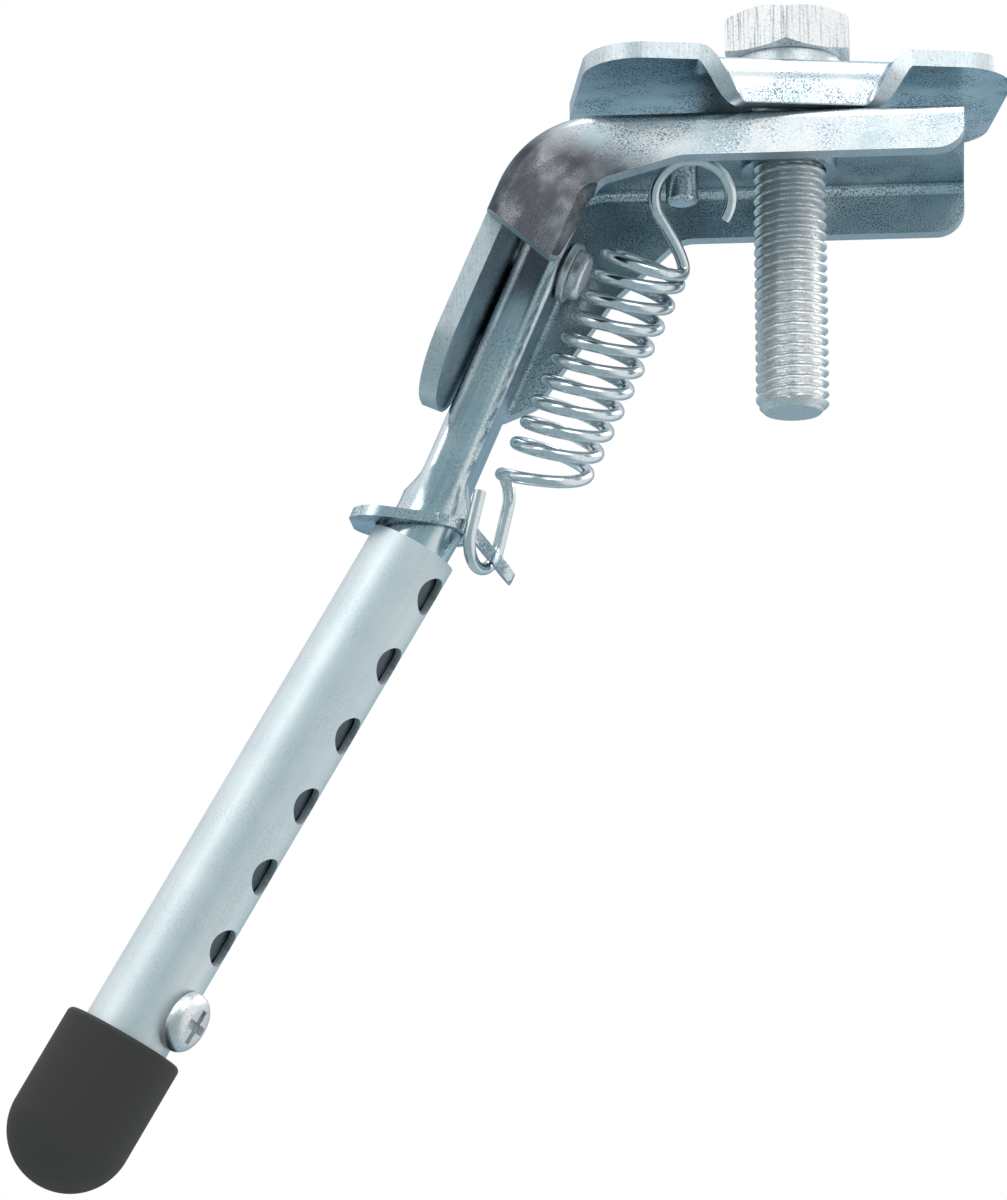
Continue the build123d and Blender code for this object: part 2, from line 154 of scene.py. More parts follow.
class StandFinish(bpy.types.PropertyGroup):
    """Colours of the finishes."""

    zinc: bpy.props.FloatVectorProperty(
        name="Zinc", description="Bright zinc plating",
        subtype="COLOR", default=(0.76, 0.81, 0.82))
    zinc_shade: bpy.props.FloatVectorProperty(
        name="Zinc shade", description="Blue cast of thicker plating",
        subtype="COLOR", default=(0.37, 0.55, 0.62))
    zinc_speck: bpy.props.FloatVectorProperty(
        name="Zinc specks", description="Slate specks of the plating's grain",
        subtype="COLOR", default=(0.10, 0.13, 0.20))
    # Painted dark reflection: the hood's flange is darkened where the bent sheet would mirror the dim room
    painted_dark_reflection: bpy.props.FloatVectorProperty(
        name="Painted dark reflection", description="Dark sheen of the formed hood",
        subtype="COLOR", default=(0.045, 0.045, 0.055))
    # Painted shade: dark colour for the rod's length inside the tube
    bore: bpy.props.FloatVectorProperty(
        name="Bore", description="Darkened steel inside the tube",
        subtype="COLOR", default=(0.10, 0.11, 0.12))
    sheared: bpy.props.FloatVectorProperty(
        name="Sheared edge", description="Torn grey of sheared edges",
        subtype="COLOR", default=(0.62, 0.66, 0.68))
    bolt: bpy.props.FloatVectorProperty(
        name="Bolt", description="Warm grey of the bolt",
        subtype="COLOR", default=(0.88, 0.88, 0.87))
    wire: bpy.props.FloatVectorProperty(
        name="Wire", description="Bright spring wire",
        subtype="COLOR", default=(0.76, 0.80, 0.81))
    grazing: bpy.props.FloatVectorProperty(
        name="Grazing", description="Tint of the metals where they turn away",
        subtype="COLOR", default=(0.60, 0.66, 0.72))
    rubber: bpy.props.FloatVectorProperty(
        name="Rubber", description="Black rubber of the foot",
        subtype="COLOR", default=(0.006, 0.006, 0.007))


class StandStage(bpy.types.PropertyGroup):
    """Camera, floor and light."""

    azimuth: bpy.props.FloatProperty(
        name="Azimuth", description="Camera's turn about the bolt",
        default=math.radians(5), unit="ROTATION")
    elevation: bpy.props.FloatProperty(
        name="Elevation", description="Camera's height above the horizon",
        default=math.radians(-14), unit="ROTATION")
    distance: bpy.props.FloatProperty(
        name="Distance", description="Depth from the camera to the origin",
        default=0.70, unit="LENGTH")
    floor_level: bpy.props.FloatProperty(
        name="Floor level", description="Height of the floor, below the camera",
        default=-0.32, unit="LENGTH")
    key_power: bpy.props.FloatProperty(
        name="Key power", description="Power of the key lamp in watts",
        default=7.0)
    front_power: bpy.props.FloatProperty(
        name="Front power", description="Power of the front lamp in watts",
        default=2.6)
    left_power: bpy.props.FloatProperty(
        name="Left power", description="Power of the left lamp in watts",
        default=3.4)
    fill_power: bpy.props.FloatProperty(
        name="Fill power", description="Power of the fill lamp in watts",
        default=5.0)
    ambient: bpy.props.FloatProperty(
        name="Ambient", description="Strength of the room's even light",
        default=0.50)


class Shade:
    """A socket of a material's node tree, so that shader maths reads as Python expressions."""

    def __init__(self, tree, socket=None):
        self.tree = tree
        self.socket = socket

    def node(self, kind, settings=None, inputs=None, output=0):
        """Adds a node: its settings are set first, then its sockets get values or links."""
        made = self.tree.nodes.new(kind)
        for key, value in (settings or {}).items():
            setattr(made, key, value)
        for key, value in (inputs or {}).items():
            if isinstance(value, Shade):
                self.tree.links.new(value.socket, made.inputs[key])
            else:
                made.inputs[key].default_value = value
        return Shade(self.tree, made.outputs[output] if made.outputs else None)

    def math(self, operation, first, second):
        """One Math node on two values."""
        return self.node("ShaderNodeMath", {"operation": operation}, {0: first, 1: second})

    def __add__(self, other):
        return self.math("ADD", self, other)

    def __sub__(self, other):
        return self.math("SUBTRACT", self, other)

    def __rsub__(self, other):
        return self.math("SUBTRACT", other, self)

    def __mul__(self, other):
        return self.math("MULTIPLY", self, other)

    __radd__ = __add__
    __rmul__ = __mul__

    def band(self, low, high):
        """Eases from 0 at low to 1 at high."""
        settings = {"interpolation_type": "SMOOTHSTEP"}
        return self.node("ShaderNodeMapRange", settings, {0: self, 1: low, 2: high})

    def maximum(self, other):
        """The greater of this value and another."""
        return self.math("MAXIMUM", self, other)

    def mix(self, first, second):
        """The first colour where this value is 0 and the second where it is 1."""
        colours = [c if isinstance(c, Shade) else (*c, 1.0) for c in (first, second)]
        return self.node("ShaderNodeMix", {"data_type": "RGBA"}, {0: self, 6: colours[0], 7: colours[1]}, 2)

    def place(self):
        """The piece's Object coordinates."""
        return self.node("ShaderNodeTexCoord", output=3)

    def noise(self, grain, detail=2.0):
        """Noise from 0 to 1 over this place, whose features are about one grain wide."""
        inputs = {"Vector": self, "Scale": 1.0 / grain, "Detail": detail}
        return self.node("ShaderNodeTexNoise", None, inputs)

    def vector(self, operation, inputs, output=0):
        """One Vector Math node."""
        return self.node("ShaderNodeVectorMath", {"operation": operation}, inputs, output)

    def reach(self, axis):
        """How far this place lies along an axis."""
        return self.vector("DOT_PRODUCT", {0: self, 1: tuple(axis)}, 1)

    def drawn(self, axis, ratio):
        """This place with its length along the axis shortened, so that noise runs in lines along it."""
        spare = self.vector("SCALE", {0: tuple(axis), "Scale": self.reach(axis) * (1.0 - ratio)})
        return self.vector("SUBTRACT", {0: self, 1: spare})

    def part(self, axis):
        """One part of this vector: 0, 1 or 2."""
        return self.node("ShaderNodeSeparateXYZ", None, {0: self}, axis)


def new_finish(name):
    """The wrapper of a new material's empty node tree."""
    material = bpy.data.materials.new(name)
    material.use_nodes = True
    material.node_tree.nodes.clear()
    return Shade(material.node_tree)


def surface(tree, colour, roughness, height=None, depth=0.0, metallic=1.0, specular=0.5):
    """Ends a material: one shader with its colour, roughness and bump of that depth in metres."""
    inputs = {
        "Base Color": colour,
        "Roughness": roughness,
        "Metallic": metallic,
        "Specular IOR Level": specular,
    }
    if metallic:
        inputs["Specular Tint"] = (*bpy.context.scene.stand_finish.grazing, 1.0)
    if height is not None:
        bump = {"Height": height, "Distance": depth, "Strength": 1.0}
        inputs["Normal"] = tree.node("ShaderNodeBump", None, bump)
    shader = tree.node("ShaderNodeBsdfPrincipled", None, inputs)
    tree.node("ShaderNodeOutputMaterial", None, {"Surface": shader})


def formed_colour(place, colour, look):
    """The formed sheet's colour: slanted rub marks in patches, and a blotchy painted dark reflection on the
    hood.
    """
    rub_way = unit([0.55, -0.40, 0.73])
    hood_start = 12 * mm
    hood_full = 19 * mm
    flange_outside = -14.5 * mm
    mark_width = 0.30 * mm
    rubbed_patch = 8 * mm
    blotch_size = 4 * mm
    marks = place.drawn(rub_way, 0.06).noise(mark_width).band(0.55, 0.63)
    rubbed = marks * place.noise(rubbed_patch).band(0.48, 0.60)
    flange = 1.0 - place.part(1).band(flange_outside, flange_inside)
    blotch = place.noise(blotch_size).band(0.20, 0.60) * 0.20 + 0.76
    # Painted dark reflection: dark blotches over the hood's flange, in place of the dim room it mirrors
    painted_reflection_mask = place.reach(along).band(hood_start, hood_full) * flange * blotch
    return painted_reflection_mask.mix(rubbed.mix(colour, look.zinc), look.painted_dark_reflection)


def zinc_finish(name, grain_axis=None, speck_share=0.55, tint=0.6, gloss=0.17, formed=False,
                shaded_past=None):
    """Bright zinc: a broad blue cast, slate specks in patches, and fine grain or lines along the grain axis.

    A formed sheet has rub marks and a painted dark reflection on its hood. Past a reach along the tube the
    finish is dark with painted shade, for the rod's length inside the tube.
    """
    cast_size = 9 * mm
    patch_size = 5 * mm
    speck_size = 0.24 * mm
    grain_size = 0.12 * mm
    line_width = 0.25 * mm
    streak_width = 1.6 * mm
    shade_edge = 0.5 * mm
    relief = 0.010 * mm
    look = bpy.context.scene.stand_finish
    tree = new_finish(name)
    place = tree.place()
    cast = place.noise(cast_size).band(0.35, 0.70) * tint
    patch = place.noise(patch_size).band(0.30, 0.62)
    speck = place.noise(speck_size, 3.0).band(0.49, 0.60) * patch * speck_share
    if grain_axis is None:
        lines = place.noise(grain_size, 1.0)
    else:
        drawn = place.drawn(grain_axis, 0.02)
        lines = drawn.noise(line_width, 3.0)
        cast = cast + drawn.noise(streak_width).band(0.42, 0.62) * tint
    colour = speck.mix(cast.mix(look.zinc, look.zinc_shade), look.zinc_speck)
    if formed:
        colour = formed_colour(place, colour, look)
    # Painted shade on the rod past the tube's mouth, where it lies inside the tube
    if shaded_past is not None:
        inside = place.reach(tube_along).band(shaded_past, shaded_past + shade_edge)
        colour = inside.mix(colour, look.bore)
    surface(tree, colour, gloss + speck * 0.18 + lines * 0.10, speck * 0.6 + lines * 0.5, relief)


def sheared_finish():
    """Plated over a sheared edge: torn grey with short upright tears, duller than the sheet's faces."""
    tear_width = 0.22 * mm
    pit_size = 0.30 * mm
    relief = 0.02 * mm
    look = bpy.context.scene.stand_finish
    tree = new_finish("sheared_zinc")
    place = tree.place()
    torn = place.drawn(upright, 0.12).noise(tear_width, 3.0)
    pits = place.noise(pit_size, 3.0).band(0.55, 0.75)
    colour = (pits * 0.5).mix(torn.band(0.30, 0.75).mix(look.sheared, look.zinc), look.zinc_speck)
    surface(tree, colour, 0.34 + torn * 0.12, torn + pits * -0.5, relief)


def bolt_finish():
    """Zinc on turned steel: upright tool streaks on the bolt head's flats, and dark flecks all over."""
    head_start = 10.5 * mm
    head_full = 11.0 * mm
    streak_width = 0.30 * mm
    fleck_size = 0.28 * mm
    relief = 0.02 * mm
    look = bpy.context.scene.stand_finish
    tree = new_finish("bolt_zinc")
    place = tree.place()
    streaks = place.drawn(upright, 0.03).noise(streak_width, 3.0)
    head = place.part(2).band(head_start, head_full)
    fleck = place.noise(fleck_size, 3.0).band(0.48, 0.70)
    dark = streaks.band(0.48, 0.70) * head * 0.55 + fleck * 0.30
    colour = dark.mix(look.bolt, look.zinc_speck)
    surface(tree, colour, 0.32 + fleck * 0.15 + streaks * 0.08, streaks * head + fleck * 0.4, relief)


def wire_finish():
    """Drawn spring wire: fine lines along the wire from its own UV map, bright with a few dull streaks."""
    line_scale = (9.0, 0.9, 1.0)
    dull_size = 0.4
    relief = 0.006 * mm
    look = bpy.context.scene.stand_finish
    tree = new_finish("spring_zinc")
    along_wire = tree.node("ShaderNodeUVMap", {"uv_map": "wire"})
    stretched = tree.node("ShaderNodeMapping", None, {"Vector": along_wire, "Scale": line_scale})
    lines = stretched.noise(1.0, 3.0)
    dull = along_wire.noise(dull_size).band(0.5, 0.8)
    colour = (dull * 0.45).mix(look.wire, look.zinc_shade)
    surface(tree, colour, 0.13 + lines * 0.10, lines, relief)


def rubber_finish():
    """Moulded black rubber: fine grain, a few grey scuffs and a dry sheen."""
    scuffed = (0.04, 0.04, 0.043)
    grain_size = 0.30 * mm
    scuff_size = 2.5 * mm
    relief = 0.015 * mm
    look = bpy.context.scene.stand_finish
    tree = new_finish("foot_rubber")
    place = tree.place()
    grain = place.noise(grain_size, 3.0)
    scuff = place.noise(scuff_size, 4.0).band(0.52, 0.80)
    colour = (scuff * 0.35).mix(look.rubber, scuffed)
    surface(tree, colour, 0.40 + scuff * 0.2 + grain * 0.1, grain, relief, metallic=0.0, specular=0.08)


def add_piece(name, mesh, body, finishes, nodes, sharp=None):
    """Puts a mesh into the scene as a piece that stands for CAD nodes and rides on a body, if one is given.

    Edges that turn by more than the sharp angle, in degrees, stay sharp.
    """
    mesh.shade_smooth()
    if sharp is not None:
        mesh.set_sharp_from_angle(angle=math.radians(sharp))
    piece = bpy.data.objects.new(name, mesh)
    bpy.context.scene.collection.objects.link(piece)
    for finish in finishes:
        mesh.materials.append(bpy.data.materials[finish])
    if body is not None:
        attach(piece, body)
    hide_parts(*nodes)
    return piece


def close_mesh(mesh):
    """Merges doubled points and turns every face outwards."""
    shell = bmesh.new()
    shell.from_mesh(mesh)
    bmesh.ops.remove_doubles(shell, verts=shell.verts, dist=merge_distance)
    bmesh.ops.recalc_face_normals(shell, faces=shell.faces)
    shell.to_mesh(mesh)
    shell.free()


def grid_mesh(name, points, wrap=True, lengths=None):
    """A mesh over a grid of points in rows and columns: a face joins each four neighbours.

    With wrap the last column joins the first. Rows that meet in one point close an end. The lengths along the
    rows give a UV map named wire, with the share of the way round beside them.
    """
    rows, columns = points.shape[:2]
    row = np.arange(rows - 1)[:, None]
    column = np.arange(columns if wrap else columns - 1)[None, :]
    corners = ((0, 0), (0, 1), (1, 1), (1, 0))
    faces = np.stack([(row + i) * columns + (column + j) % columns for i, j in corners], axis=-1)
    mesh = bpy.data.meshes.new(name)
    mesh.from_pydata(points.reshape(-1, 3).tolist(), [], faces.reshape(-1, 4).tolist())
    if lengths is not None:
        share = np.stack([(column + j) / columns + 0 * row for _, j in corners], axis=-1)
        reach = np.stack([np.asarray(lengths)[row + i] + 0 * column for i, _ in corners], axis=-1)
        mesh.uv_layers.new(name="wire").data.foreach_set("uv", np.stack([share, reach], axis=-1).ravel())
    close_mesh(mesh)
    return mesh


def revolved(profile, origin, axis, columns=96):
    """Points of a profile of (reach, radius) rows turned about an axis through the origin."""
    axis = unit(axis)
    first = unit(np.cross(axis, [0.0, 1.0, 0.01]))
    second = np.cross(axis, first)
    angle = 2 * math.pi * np.arange(columns) / columns
    ring = np.cos(angle)[:, None] * first + np.sin(angle)[:, None] * second
    reach, radius = np.asarray(profile, dtype=float).T
    return np.asarray(origin) + reach[:, None, None] * axis + radius[:, None, None] * ring[None]


def bolt_points(sizes):
    """Grid of the bolt by height and angle.

    The shank's radius falls by the thread's depth where the height, less one pitch for each turn of angle, is
    half way between two crests. The head's radius at an angle is that of a hexagon, cut by a cone above and
    below.
    """
    low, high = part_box("clamp_bolt")
    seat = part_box("lock_washer")[1][2]
    tip = low[2]
    top = high[2]
    major = 5 * mm
    tip_chamfer = 1.1 * mm
    root_share = 0.12
    flank_share = 0.72
    rim_share = 0.955
    upper_cone = math.radians(30)
    lower_cone = math.radians(20)
    columns = 96
    rows_per_pitch = 12
    angle = 2 * math.pi * np.arange(columns) / columns
    count = int((seat - tip) / sizes.thread_pitch * rows_per_pitch)
    height = np.linspace(tip, seat, count)[:, None] + 0 * angle
    phase = (height / sizes.thread_pitch - angle / (2 * math.pi)) % 1.0
    crest = smooth((np.abs(2 * phase - 1) - root_share) / flank_share)
    radius = major - sizes.thread_depth * (1 - crest)
    radius = np.minimum(radius, major - tip_chamfer + (height - tip))
    sixth = math.pi / 3
    inner = sizes.head_flats / 2
    hexagon = inner / np.cos((angle + sixth / 2) % sixth - sixth / 2)
    rim = rim_share * inner
    upper = top - (hexagon - rim) * math.tan(upper_cone)
    lower = seat + (hexagon - rim) * math.tan(lower_cone)
    flat = np.ones(columns)
    head = [(major, seat), (rim, seat), (hexagon, lower),
            (hexagon, upper), (rim, top), (rim / 2, top), (0, top)]
    radius = np.vstack([0 * flat, radius, *[r * flat for r, _ in head]])
    height = np.vstack([tip * flat, height, *[h * flat for _, h in head]])
    return np.stack([radius * np.cos(angle), radius * np.sin(angle), height], axis=-1)


def plate_points(sizes):
    """Middle surface of the clamp plate by length and depth.

    Across the plate a point runs level to the bend's start, round the bend by up to a right angle, then
    straight. The share of the bend is 1 over the lip's width and eases to 0 at its root. The wings' corners
    are round.
    """
    rows = 121
    columns = 181
    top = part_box("lock_washer")[0][2]
    half_length = sizes.plate_length / 2
    half_depth = sizes.plate_depth / 2
    bend = sizes.lip_bend + sizes.plate_sheet / 2
    start = half_depth - sizes.lip_bend - sizes.plate_sheet
    straight = top - sizes.plate_sheet / 2 - bend
    place = half_length * np.sin(np.linspace(-math.pi / 2, math.pi / 2, columns))
    past = np.clip(np.abs(place) - half_length + sizes.plate_corner, 0, sizes.plate_corner)
    wing = half_depth - sizes.plate_corner + np.sqrt(sizes.plate_corner**2 - past**2)
    share = smooth((sizes.lip_root / 2 - np.abs(place)) / (sizes.lip_root / 2 - sizes.lip_flat / 2))
    reach = wing * (1 - share) + (start + bend * math.pi / 2 + straight) * share
    side = np.linspace(-1, 1, rows)[:, None]
    run = np.abs(side) * reach
    beyond = np.clip(run - start, 0, None)
    turn = np.minimum(beyond / bend, share * math.pi / 2)
    rest = beyond - bend * turn
    depth = np.sign(side) * (np.minimum(run, start) + bend * np.sin(turn) + rest * np.cos(turn))
    level = top - sizes.plate_sheet / 2 - bend * (1 - np.cos(turn)) - rest * np.sin(turn)
    cos, sin = math.cos(sizes.plate_turn), math.sin(sizes.plate_turn)
    length = place + 0 * side
    return np.stack([length * cos - depth * sin, length * sin + depth * cos, level], axis=-1)


def bow(start, start_way, end, end_way, count=28):
    """A cubic curve between two points, whose rate of travel at each end is that end's way."""
    t = np.linspace(0, 1, count)[:, None]
    return ((1 + 2 * t) * (1 - t)**2 * start + t * (1 - t)**2 * start_way
            + t * t * (3 - 2 * t) * end + t * t * (t - 1) * end_way)


def spring_line(sizes):
    """The wire's line from the lower hook's tail to the upper loop's end, its seam's ways and the hook's end.

    The lower hook is a U below the coil's left side. The coil is a helix about the line from the leg to the
    peg, steeper over its first half turn and level at its end. The upper loop is most of a circle round the
    peg. A cubic bow joins each hook to the coil.
    """
    coil_bottom = np.array([-34.3, 7.0, -44.2]) * mm
    coil_top = np.array([-19.3, -5.0, -17.5]) * mm
    first_turn = 0.25
    last_turn = 0.66 + sizes.coil_turns
    turn_places = first_turn + np.array([0.0, 0.5, 1.0, sizes.coil_turns])
    turn_rises = np.array([-2.0, 1.25, 2.85, 32.0]) * mm
    coil_slant = 0.9 * mm
    hook_start = math.radians(50)
    hook_hang = math.radians(13)
    hook_turn = math.radians(22)
    hook_radius = 4.2 * mm
    hook_tail = 5.5 * mm
    loop_centre = np.array([-12.9, -9.7, -10.7]) * mm
    loop_up = unit([0.0, -0.41, 0.91])
    loop_radius = 5.2 * mm
    loop_start = math.radians(-32)
    loop_end = math.radians(216)
    bend_play = 0.5 * mm
    hook_way = 7 * mm
    coil_start_way = 9 * mm
    coil_end_way = 11 * mm
    loop_way = 12 * mm
    right = np.array([1.0, 0.0, 0.0])

    pull = unit(coil_top - coil_bottom)
    back = unit(np.cross(pull, right))
    left = np.cross(pull, back)
    radius = sizes.coil_radius

    turn = np.linspace(first_turn, last_turn, 40 * sizes.coil_turns)
    angle = (2 * math.pi * turn)[:, None]
    outward = np.cos(angle) * back + np.sin(angle) * left
    rise = np.interp(turn, turn_places, turn_rises)[:, None] - coil_slant * np.sin(angle)
    coil = coil_bottom + radius * outward + rise * pull

    down = np.array([-math.sin(hook_hang), 0.0, -math.cos(hook_hang)])
    side = np.array([-math.sin(hook_turn) * math.cos(hook_hang), -math.cos(hook_turn),
                     math.sin(hook_turn) * math.sin(hook_hang)])
    root = coil_bottom + radius * (math.cos(hook_start) * back + math.sin(hook_start) * left)
    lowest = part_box("return_spring")[0][2]
    centre_level = lowest + (hook_radius + sizes.wire / 2) * math.hypot(down[2], side[2])
    leg = (centre_level - root[2] - side[2] * hook_radius) / down[2]
    centre = root + side * hook_radius + down * leg
    sweep = np.linspace(math.pi, 0, 33)[:, None]
    crown = centre + hook_radius * (np.sin(sweep) * down - np.cos(sweep) * side)
    crown_seam = np.cos(sweep) * side - np.sin(sweep) * down
    tail = crown[0] - down * np.linspace(hook_tail, bend_play, 12)[:, None]
    leg_rise = crown[-1] - down * np.linspace(bend_play, 0.45 * leg, 10)[:, None]
    lower_bow = bow(leg_rise[-1], -down * hook_way, coil[0], -back * coil_start_way)[1:-1]

    loop_angle = np.linspace(loop_start, loop_end, 60)[:, None]
    loop = loop_centre + loop_radius * (np.sin(loop_angle) * loop_up - np.cos(loop_angle) * right)
    loop_seam = np.cos(loop_angle) * right - np.sin(loop_angle) * loop_up
    leaving = unit(coil[-1] - coil[-2]) * coil_end_way
    entering = unit(loop[1] - loop[0]) * loop_way
    upper_bow = bow(coil[-1], leaving, loop[0], entering)[1:-1]

    mix = np.linspace(0, 1, len(lower_bow))[:, None]
    seams = [0 * tail - side, crown_seam, 0 * leg_rise + side, side * (1 - mix) + outward[0] * mix,
             outward, outward[-1] * (1 - mix) + loop_seam[0] * mix, loop_seam]
    line = np.vstack([tail, crown, leg_rise, lower_bow, coil, upper_bow, loop])
    return line, np.vstack(seams), leg_rise[0]


def wire_points(line, seam, radius, columns=20):
    """A round section carried along a line, spanned at each point by two directions square to the line."""
    way = unit(np.gradient(line, axis=0))
    first = unit(seam - np.sum(seam * way, axis=1, keepdims=True) * way)
    second = np.cross(way, first)
    angle = 2 * math.pi * np.arange(columns) / columns
    ring = first[:, None] * np.cos(angle)[:, None] + second[:, None] * np.sin(angle)[:, None]
    tube = line[:, None] + radius * ring
    ends = [np.repeat(line[i][None, None], columns, axis=1) for i in (0, -1)]
    return np.concatenate([ends[0], tube, ends[1]])


def foot_points():
    """The foot's profile turned about the tube: bore, round lip, straight wall and a half-round end."""
    low, high = (np.array(corner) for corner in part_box("foot_cap"))
    radius = (high[1] - low[1]) / 2
    length = 23 * mm
    bore = 6.22 * mm
    bore_depth = 12 * mm
    lip = 0.8 * mm
    ball = np.array([low[0] + radius, (low[1] + high[1]) / 2, low[2] + radius])
    mouth = ball - tube_along * (length - radius)
    turn = np.linspace(0, math.pi / 2, 9)
    inner_lip = np.stack([lip / 2 * (1 - np.sin(turn)), bore + lip / 2 * (1 - np.cos(turn))], axis=1)
    outer_lip = np.stack([lip * (1 - np.cos(turn)), radius - lip * (1 - np.sin(turn))], axis=1)
    end_turn = np.linspace(0, math.pi / 2, 33)
    end = np.stack([length - radius + radius * np.sin(end_turn), radius * np.cos(end_turn)], axis=1)
    profile = np.vstack([[[bore_depth, 0], [bore_depth, bore]], inner_lip, outer_lip, end])
    return revolved(profile, mouth, tube_along)


def vectors(items, name):
    """One vector of every vertex or face, as rows."""
    values = np.empty(len(items) * 3)
    items.foreach_get(name, values)
    return values.reshape(-1, 3)


def least_reach(node, axis):
    """The least reach of a CAD node's points along an axis."""
    return float((vectors(frame["nodes"][node].data.vertices, "co") @ axis).min())


def eased_mesh(name, node):
    """A CAD node's mesh with its triangles joined into whole faces, so that its edges can be eased."""
    flat = math.radians(0.3)
    mesh = bpy.data.meshes.new(name)
    shell = bmesh.new()
    shell.from_mesh(frame["nodes"][node].data)
    bmesh.ops.remove_doubles(shell, verts=shell.verts, dist=merge_distance)
    bmesh.ops.dissolve_limit(shell, angle_limit=flat, verts=shell.verts, edges=shell.edges)
    shell.to_mesh(mesh)
    shell.free()
    mesh.polygons.foreach_set("material_index", np.zeros(len(mesh.polygons), dtype=np.int32))
    if "custom_normal" in mesh.attributes:
        mesh.attributes.remove(mesh.attributes["custom_normal"])
    return mesh


def ease_edges(piece, width, angle=32):
    """Rounds a piece's sharp edges and lets its flat faces keep flat shading."""
    bevel = piece.modifiers.new("eased", "BEVEL")
    bevel.width = width
    bevel.segments = 3
    bevel.limit_method = "ANGLE"
    bevel.angle_limit = math.radians(angle)
    bevel.use_clamp_overlap = True
    weighted = piece.modifiers.new("weighted", "WEIGHTED_NORMAL")
    weighted.keep_sharp = True


def mark_sheared(mesh):
    """Gives the bracket's cut edges the sheared finish.

    These are the faces square to the sheet at the rims of the flanges and the tongue, and the web's free end.
    """
    square = 0.08
    back_sheet = 2.59 * mm
    end_depth = 0.1 * mm
    tongue_start = 36 * mm
    tongue_back = 12 * mm
    normal = vectors(mesh.polygons, "normal")
    middle = vectors(mesh.polygons, "center")
    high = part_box("mount_bracket")[1]
    flange = np.abs(normal[:, 1]) < square
    front = flange & (middle[:, 1] < flange_inside)
    back = flange & (middle[:, 1] > high[1] - back_sheet)
    end = (normal[:, 0] > 1 - square) & (middle[:, 0] > high[0] - end_depth)
    tongue_side = (np.abs(normal @ across) < square) & (middle[:, 1] < tongue_back)
    tongue = tongue_side & (middle @ along > tongue_start)
    mesh.polygons.foreach_set("material_index", (front | back | end | tongue).astype(np.int32))


def add_camera(stage):
    """The photograph's camera: the origin falls on its pixel at the fitted depth and scale."""
    turn, rise = stage.azimuth, stage.elevation
    forward = np.array([-math.sin(turn) * math.cos(rise), math.cos(turn) * math.cos(rise), -math.sin(rise)])
    right = np.array([math.cos(turn), math.sin(turn), 0.0])
    up = np.cross(right, forward)
    shift = (np.array(origin_pixel) - [photo_width / 2, photo_height / 2]) / pixels_per_metre
    place = -(right * shift[0] - up * shift[1] + forward * stage.distance)
    data = bpy.data.cameras.new("photo_camera")
    data.sensor_fit = "VERTICAL"
    data.sensor_height = sensor_height
    data.lens = stage.distance * pixels_per_metre / photo_height * sensor_height
    data.clip_start = 0.01
    camera = bpy.data.objects.new("photo_camera", data)
    turned = np.column_stack([right, up, -forward])
    camera.matrix_world = Matrix.Translation(place.tolist()) @ Matrix(turned.tolist()).to_4x4()
    bpy.context.scene.collection.objects.link(camera)
    bpy.context.scene.camera = camera


def add_lamp(name, place, size, power):
    """A soft square lamp that faces the middle of the stand."""
    target = Vector((-0.035, 0.0, -0.05))
    data = bpy.data.lights.new(name, "AREA")
    data.size = size
    data.energy = power
    lamp = bpy.data.objects.new(name, data)
    lamp.location = place
    lamp.rotation_euler = (target - Vector(place)).to_track_quat("-Z", "Y").to_euler()
    bpy.context.scene.collection.objects.link(lamp)


def add_floor(stage):
    """A pale floor that takes the stand's shadow: a level square, faintly mottled."""
    reach = 3.0
    mottle_size = 0.4
    pale = (0.90, 0.90, 0.90)
    paler = (0.94, 0.94, 0.94)
    side = np.linspace(-reach, reach, 2)
    across_floor, along_floor = np.meshgrid(side, side)
    points = np.stack([across_floor, along_floor, 0 * across_floor + stage.floor_level], axis=-1)
    mesh = grid_mesh("pale_floor", points, wrap=False)
    tree = new_finish("pale_floor")
    mottle = tree.place().noise(mottle_size)
    surface(tree, mottle.mix(pale, paler), 0.7, metallic=0.0, specular=0.2)
    mesh.materials.append(bpy.data.materials["pale_floor"])
    floor = bpy.data.objects.new("pale_floor", mesh)
    bpy.context.scene.collection.objects.link(floor)
    floor.visible_glossy = False


def add_world(stage):
    """White room for the camera, and for reflections too where it is above the horizon or to the right.

    Elsewhere reflections show a dim floor, a dim front where the camera stands, and a dim patch on the far
    side of the stand.
    """
    white = (1.0, 1.0, 1.0)
    bright = (0.93, 0.95, 0.96)
    floor_front = (0.34, 0.44, 0.48)
    floor_back = (0.42, 0.56, 0.63)
    far_patch = (0.34, 0.48, 0.56)
    even = (stage.ambient, stage.ambient, stage.ambient)
    behind = (-math.sin(stage.azimuth), math.cos(stage.azimuth), -math.sin(stage.elevation))
    world = bpy.data.worlds.new("studio")
    world.use_nodes = True
    world.node_tree.nodes.clear()
    bpy.context.scene.world = world
    tree = Shade(world.node_tree)
    direction = tree.node("ShaderNodeTexCoord")
    path_camera = tree.node("ShaderNodeLightPath", output=0)
    path_glossy = tree.node("ShaderNodeLightPath", output=3)
    path_through = tree.node("ShaderNodeLightPath", output=6)
    sky = direction.part(2).band(-0.10, 0.26)
    front = (direction.part(1) * -1.0).band(0.50, 0.85)
    right = direction.part(0).band(0.45, 0.85) * 0.9
    lit = (sky * (1.0 - front)).maximum(right)
    low = direction.part(1).band(-0.30, 0.60).mix(floor_front, floor_back)
    room = direction.reach(behind).band(0.88, 0.98).mix(lit.mix(low, bright), far_patch)
    colour = path_camera.maximum(path_through).mix(path_glossy.mix(even, room), white)
    shader = tree.node("ShaderNodeBackground", None, {"Color": colour, "Strength": 1.0})
    tree.node("ShaderNodeOutputWorld", None, {"Surface": shader})


